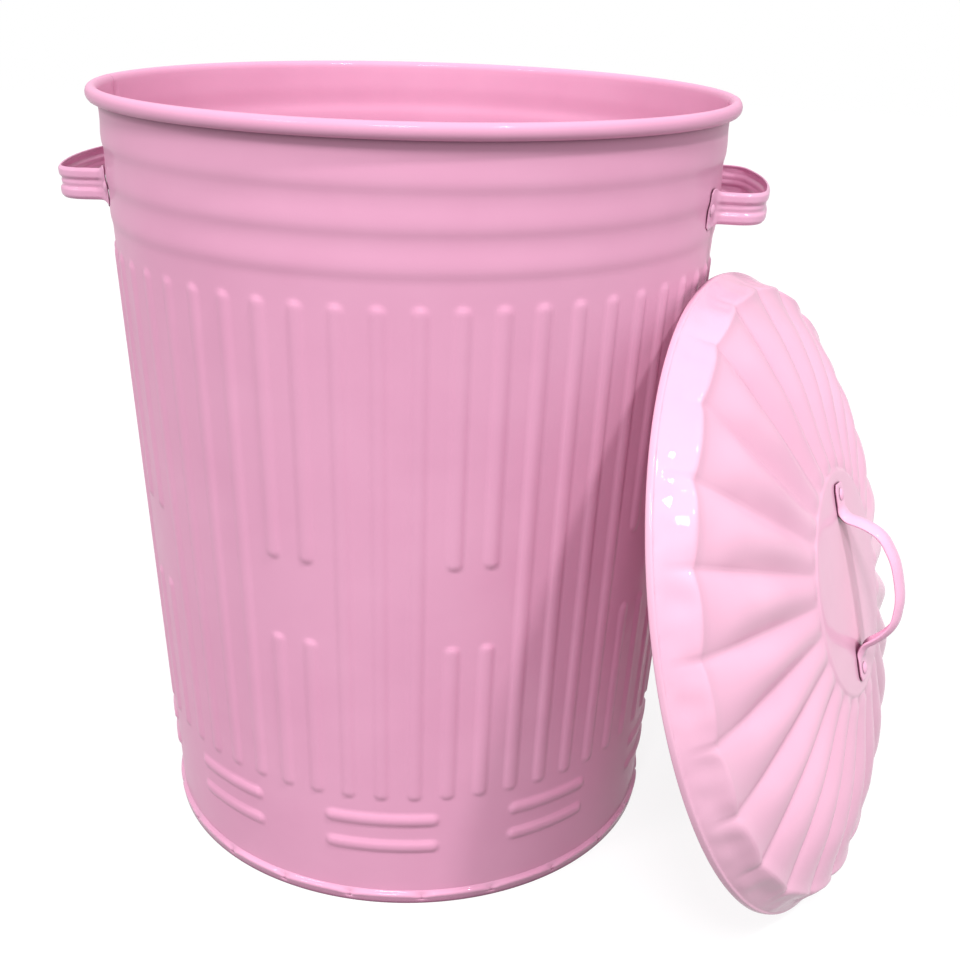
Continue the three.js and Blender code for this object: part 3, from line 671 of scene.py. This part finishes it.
def strip_grid(name, along_count, across_count):
    bpy.ops.object.select_all(action="DESELECT")
    bpy.ops.mesh.primitive_grid_add(x_subdivisions=along_count, y_subdivisions=across_count, size=2)
    item = bpy.context.active_object
    item.name = name
    return item


def strip_places(strip, at):
    """For each vertex its station on the path, its share across, and its way to the nearer end."""
    points = read_points(strip)
    last = len(at) - 1
    station = np.clip(np.rint((points[:, 0] + 1) / 2 * last).astype(int), 0, last)
    return station, points[:, 1], np.minimum(at[station], at[-1] - at[station])


def path_normals(path):
    ahead = np.gradient(path, axis=0)
    ahead /= np.linalg.norm(ahead, axis=1)[:, None]
    return np.column_stack((ahead[:, 1], -ahead[:, 0]))


# %% Right side handle
HANDLE_HEIGHT = 492.5 * MM
STRAP_HALF = 11 * MM
STRAP_SHEET = 1.2 * MM
STRAP_RIDGE = 1.6 * MM
STRAP_OFF_SEAT = 0.15 * MM
seat = wall_radius(HANDLE_HEIGHT) + 1.0 * MM
loop_corners = [(80, 0), (64.5, 0), (59, 30.2), (0, 31), (-59, 30.2), (-64.5, 0), (-80, 0)]
loop_path, loop_at = rounded_path([(u * MM, d * MM) for u, d in loop_corners], 15 * MM, 1.6 * MM)
loop_out = path_normals(loop_path)
strap = strip_grid("side_strap_right", len(loop_path) - 1, 26)
station, across, from_end = strip_places(strap, loop_at)
in_loop = smooth((from_end - 11 * MM) / (9 * MM))
tab_flare = 1 + 0.25 * (1 - smooth((from_end - 9 * MM) / (8 * MM)))
corner_cut = 1 - 0.16 * smooth(1 - from_end / (4 * MM))


def strap_wave(share):
    """Section of the strap: a wide ridge at each edge and a small one in the middle."""
    edge = smooth((1 - np.abs(share)) / 0.22) * smooth((np.abs(share) - 0.22) / 0.22)
    centre = 0.3 * smooth(1 - np.abs(share) / 0.2)
    return np.maximum(edge, centre)


stand = STRAP_RIDGE * strap_wave(across) * in_loop + STRAP_OFF_SEAT + STRAP_SHEET
u = loop_path[station, 0] + loop_out[station, 0] * stand
d = loop_path[station, 1] + loop_out[station, 1] * stand
height = across * STRAP_HALF * tab_flare * corner_cut
taper = (WALL_TOP - WALL_BOTTOM) / HEIGHT * height
# A tab's upper half crosses a ring of the wall, and its lower half is pressed in under the ring.
press_in = 0.8 * MM * (1 - smooth((height + 1 * MM) / (8 * MM))) * (1 - in_loop)
strap_radius = seat + d + taper - press_in
strap_angle = u / wall_radius(HANDLE_HEIGHT)
write_polar(strap, strap_angle, strap_radius, HANDLE_HEIGHT + height)
outer_face = max(strap.data.polygons, key=lambda f: f.center.x)
if outer_face.normal.x < 0:
    strap.data.flip_normals()
apply_modifier(strap, "SOLIDIFY", thickness=STRAP_SHEET, offset=-1.0)
apply_modifier(strap, "BEVEL", width=0.4 * MM, segments=2, limit_method="ANGLE")
other_strap = copy_piece(strap, "side_strap_left")
finish_piece(strap, CAN_PLACE, handle_coat, "handle_coat", "can", "side_handle_right")
finish_piece(other_strap, half_turn, handle_coat, "handle_coat", "can", "side_handle_left")

# %% [markdown]
# ## Lid
# The lid is pressed from one disc: a flat middle, a ring of flutes that give a thin sheet its
# strength, a plain skirt, and a hem folded flat at the edge. The section through a valley is
# spun all round. Then the vertices between the skirt and the middle are lifted into ridges.

# %% Section of the lid
HEM_INNER = 229.0  # the section is drawn in millimetres
LID_SHEET = 0.9
DISC_RADIUS, DISC_HEIGHT = 80.0, 60.0
SHOULDER_RADIUS, SHOULDER_HEIGHT = 213.0, 22.6
DOME_BULGE = 2.0
top_line = [
    (229.6, 0.0), (230.5, 0.15), (230.9, 0.6), (231.0, 1.4), (231.0, 2.4), (231.0, 3.4), (230.85, 4.2),
    (230.5, 4.7), (229.9, 4.9), (229.3, 5.3), (228.8, 6.2),
]
for k in range(1, 7):
    t = k / 6
    top_line.append((228.8 - 10.2 * t, 6.2 + 13.4 * t))
top_line += [(217.4, 21.1), (216.1, 22.1), (214.5, 22.6)]
for k in range(23):
    t = k / 22
    bow = DOME_BULGE * math.sin(math.pi * t)
    top_line.append((
        SHOULDER_RADIUS + (DISC_RADIUS + 3 - SHOULDER_RADIUS) * t,
        SHOULDER_HEIGHT + (DISC_HEIGHT - 1.7 - SHOULDER_HEIGHT) * t + bow))
top_line += [(r, DISC_HEIGHT - drop) for r, drop in ((82.0, 1.2), (81.0, 0.5), (80.0, 0.15))]
top_line += [(r, DISC_HEIGHT) for r in (78.5, 70, 50, 25, 0)]
under_line = []
for r, h in reversed(top_line[10:]):
    tilt = LID_SHEET * (0.95 if r > 214 else 0.25 if r > 82 else 0.0)
    under_line.append((max(0.0, r - tilt), h - LID_SHEET * (0.35 if r > 214 else 1.0)))
under_line += [(HEM_INNER, 4.6), (HEM_INNER, 2.4), (HEM_INNER, 0.4), (HEM_INNER + 0.2, 0.1)]
lid_section = [(r * MM, h * MM) for r, h in top_line + under_line]
print("lid section points:", len(lid_section))

# %% Spin the lid
FLUTES = 25
FLUTE_PITCH = math.tau / FLUTES
COLUMNS_PER_FLUTE = 20
lid = spun("lid_dish", lid_section, FLUTES * COLUMNS_PER_FLUTE, loop=True)
print("lid:", len(lid.data.vertices), "vertices")

# %% Lift the flutes
FLUTE_PHASE = math.radians(183.8)
FLUTE_DEPTH = 9.0 * MM
angle, radius, height = read_polar(lid)
share = ((angle - FLUTE_PHASE) / FLUTE_PITCH) % 1
fullness = 1.25 - 0.75 * smooth((radius - 140 * MM) / (70 * MM))
wave = np.abs(np.sin(math.pi * share)) ** fullness
inner = smooth((radius - 81 * MM) / (6 * MM))
outer = smooth((222.5 * MM - radius) / (7 * MM))
taper = 0.30 + 0.70 * smooth((radius - 82 * MM) / (80 * MM))
taper -= 0.40 * smooth((radius - 175 * MM) / (35 * MM))
lift = FLUTE_DEPTH * wave * inner * outer * taper

# %% Crease the shoulder, dent the skirt and pinch the hem
CREASE_DEPTH = 0.9 * MM
CREASE_HALF = 3.2 / 60  # as a share of the pitch
PINCH_DEPTH = 0.6 * MM
PINCHES = 50
from_valley = np.abs((share + 0.5) % 1 - 0.5)
crease = smooth(1 - from_valley / CREASE_HALF)
crease = crease * smooth((height - 8 * MM) / (6 * MM)) * smooth((radius - 211 * MM) / (3 * MM))
on_skirt = smooth((height - 5.6 * MM) / (5 * MM)) * smooth((radius - 214 * MM) / (4 * MM))
level = height / MM
dents = 0.55 * np.sin(9 * angle + 0.7) * np.sin(4 * angle)
dents += 0.45 * np.sin(23 * angle + 2.0 + level * 0.12)
dents += 0.35 * np.sin(41 * angle - level * 0.2) + 0.22 * np.sin(67 * angle)
at_hem = smooth(1 - np.abs(radius - 228.8 * MM) / (1.3 * MM)) * (height > 4.4 * MM)
pinches = np.clip(np.cos(PINCHES * angle) - 0.7, 0, 1) / 0.3
write_polar(
    lid, angle, radius - CREASE_DEPTH * crease + dents * MM * on_skirt,
    height + lift - PINCH_DEPTH * pinches * at_hem)
turn_faces_out(lid)
finish_piece(lid, LID_PLACE, lid_coat, "lid_coat", "lid", "lid_shell", angle=60)

# %% Lid handle
GRIP_SHEET = 1.8 * MM
GRIP_HALF = 9.6 * MM
GRIP_OFF_DISC = 0.3 * MM
LID_HANDLE_TURN = Matrix.Rotation(math.radians(82), 4, "Z")
LID_HANDLE_PLACE = LID_PLACE @ Matrix.Translation((0, 0, DISC_HEIGHT * MM)) @ LID_HANDLE_TURN
grip_corners = [
    (72, 0), (54, 0), (46, 4), (41, 16), (32, 27.4), (14, 33.4), (0, 34), (-14, 33.4), (-32, 27.4),
    (-41, 16), (-46, 4), (-54, 0), (-72, 0)]
grip_path, grip_at = rounded_path([(s * MM, h * MM) for s, h in grip_corners], 9 * MM, 1.5 * MM)
grip_out = path_normals(grip_path)
grip = strip_grid("lid_strap", len(grip_path) - 1, 14)
station, across, from_end = strip_places(grip, grip_at)
crown = (1.5 - 4.2 * np.abs(across) ** 3) * MM * smooth((from_end - 14 * MM) / (8 * MM))
stand = crown + GRIP_OFF_DISC + GRIP_SHEET
half_width = GRIP_HALF * (1 - 0.25 * smooth(1 - from_end / (5 * MM)))
write_points(grip, np.column_stack((
    grip_path[station, 0] + grip_out[station, 0] * stand,
    across * half_width,
    grip_path[station, 1] + grip_out[station, 1] * stand)))
highest = max(grip.data.polygons, key=lambda f: f.center.z)
if highest.normal.z < 0:
    grip.data.flip_normals()
apply_modifier(grip, "SOLIDIFY", thickness=GRIP_SHEET, offset=-1.0)
apply_modifier(grip, "BEVEL", width=0.7 * MM, segments=3, limit_method="ANGLE")
finish_piece(grip, LID_HANDLE_PLACE, lid_handle_coat, "lid_handle_coat", "lid", "lid_handle")

# %% [markdown]
# ## Rivets
# Each strap end is held by one rivet with a low round head, painted over with the rest. One is
# spun and copied to each place.

# %% Rivets
HEAD_RADIUS = 4.6
SHANK_RADIUS = 2.4


def place_rivets(places, grip_length, material, slot, body):
    """Spins one rivet, copies it for the others and puts each in its place.

    The underside of the head is at height 0, and the tail is clenched a grip length below it.
    """
    head = [(0, 1.8), (1.2, 1.72), (2.4, 1.45), (3.5, 0.95), (4.3, 0.3), (HEAD_RADIUS, 0.0)]
    shank = [(SHANK_RADIUS, 0.0), (SHANK_RADIUS, -grip_length)]
    tail = [(3.9, 0.0), (3.6, -0.9), (2.4, -1.2), (0, -1.3)]
    section = head + shank + [(r, h - grip_length) for r, h in tail]
    first = spun(places[0][0], [(r * MM, h * MM) for r, h in section], 28)
    turn_faces_out(first)
    rivets = [first] + [copy_piece(first, name) for name, matrix, node in places[1:]]
    for item, (name, matrix, node) in zip(rivets, places):
        finish_piece(item, matrix, material, slot, body, node, angle=35)


# %% Rivets of the side handles
SIDE_GRIP = 4.57
tab_face = seat + 0.67 * MM
tab_angle = (80 - 17 * 0.4) * MM / wall_radius(HANDLE_HEIGHT)
outwards = Matrix.Rotation(math.pi / 2, 4, "Y")
places = []
for side, turned in (("right", 0.0), ("left", math.pi)):
    for end in (-1, 1):
        label = "front" if (end < 0) == (side == "right") else "back"
        around = CAN_PLACE @ Matrix.Rotation(turned + end * tab_angle, 4, "Z")
        matrix = around @ Matrix.Translation((tab_face, 0, HANDLE_HEIGHT)) @ outwards
        places.append((f"rivet_{side}_{label}", matrix, f"handle_rivet_{side}_{label}"))
place_rivets(places, SIDE_GRIP, handle_coat, "handle_coat", "can")

# %% Rivets of the lid handle
LID_GRIP = 3.6
places = []
for end, label in ((1, "upper"), (-1, "lower")):
    matrix = LID_HANDLE_PLACE @ Matrix.Translation((end * 64 * MM, 0, 2.4 * MM))
    places.append((f"lid_rivet_head_{label}", matrix, f"lid_rivet_{label}"))
place_rivets(places, LID_GRIP, lid_handle_coat, "lid_handle_coat", "lid")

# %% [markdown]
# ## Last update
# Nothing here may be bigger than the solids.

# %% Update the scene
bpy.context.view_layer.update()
